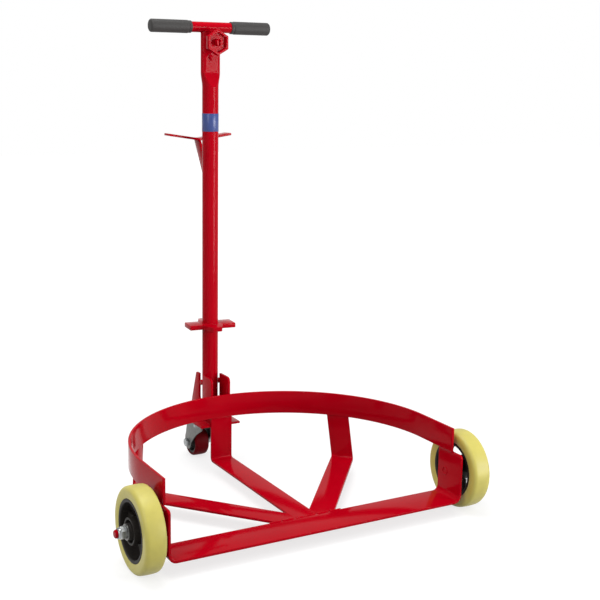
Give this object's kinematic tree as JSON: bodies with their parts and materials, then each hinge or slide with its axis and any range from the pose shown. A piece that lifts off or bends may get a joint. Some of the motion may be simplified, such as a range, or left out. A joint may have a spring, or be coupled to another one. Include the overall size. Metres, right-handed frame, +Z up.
{
  "type": "drum trolley",
  "caption": "Low three-wheeled drum cradle with a half hoop, front bar and braces, swivel castor and a lift-out T-handled pole that carries a bung key and a rim hook.",
  "frame": {"origin": "on the floor, in the middle of the trolley's length and width", "axes": "+X along the front bar, +Y from the front bar to the castor and handle, +Z up"},
  "size_m": [0.8006, 0.6434, 0.9785],
  "materials": {
    "red_paint": "gloss paint",
    "zinc": "bright zinc plate",
    "yellow_tread": "satin polyurethane",
    "black_hub": "black enamel",
    "bush": "turned bush",
    "castor_core": "moulded",
    "castor_tread": "satin polyurethane",
    "grip": "matt",
    "label": "plain film"
  },
  "bodies": {
    "frame": {"hoop": "red_paint", "front_bar": "red_paint", "rear_brace": "red_paint", "right_brace": "red_paint", "left_brace": "red_paint", "castor_plate": "red_paint", "left_ear": "red_paint", "right_ear": "red_paint", "left_axle": "zinc", "right_axle": "zinc", "axle_spacers": "zinc", "axle_washers": "zinc", "axle_nuts": "zinc", "castor_top_plate": "zinc", "king_bolt": "zinc", "king_nut": "zinc", "mount_bolts": "zinc", "mount_washers": "zinc", "mount_nuts": "zinc"},
    "left_wheel": {"left_tread": "yellow_tread", "left_hub": "black_hub", "left_bush": "bush"},
    "right_wheel": {"right_tread": "yellow_tread", "right_hub": "black_hub", "right_bush": "bush"},
    "castor_yoke": {"castor_fork": "zinc", "castor_balls": "zinc", "castor_axle": "zinc", "castor_axle_nut": "zinc", "castor_sleeve": "zinc"},
    "castor_wheel": {"castor_core": "castor_core", "castor_tread": "castor_tread", "castor_bush": "bush"},
    "handle": {"pole": "red_paint", "pole_foot": "red_paint", "cross_pin": "red_paint", "cross_bar": "red_paint", "left_grip": "grip", "right_grip": "grip", "bung_key": "red_paint", "bung_stub": "red_paint", "lug_plate": "red_paint", "rim_hook": "red_paint", "hook_strut": "red_paint", "plain_label": "label"}
  },
  "joints": [
    {"name": "left_wheel_spin", "type": "hinge", "parent": "frame", "child": "left_wheel", "pos_m": [-0.3515, -0.24175, 0.08], "axis": [1, 0, 0], "continuous": true},
    {"name": "right_wheel_spin", "type": "hinge", "parent": "frame", "child": "right_wheel", "pos_m": [0.3515, -0.24175, 0.08], "axis": [1, 0, 0], "continuous": true},
    {"name": "castor_swivel", "type": "hinge", "parent": "frame", "child": "castor_yoke", "pos_m": [0, 0.24475, 0.096], "axis": [0, 0, 1], "continuous": true},
    {"name": "castor_wheel_spin", "type": "hinge", "parent": "castor_yoke", "child": "castor_wheel", "pos_m": [0, 0.28925, 0.0325], "axis": [1, 0, 0], "continuous": true},
    {"name": "handle_lift", "type": "slide", "parent": "frame", "child": "handle", "axis": [0, 0, 1], "range_m": [0, 0.12]}
  ]
}
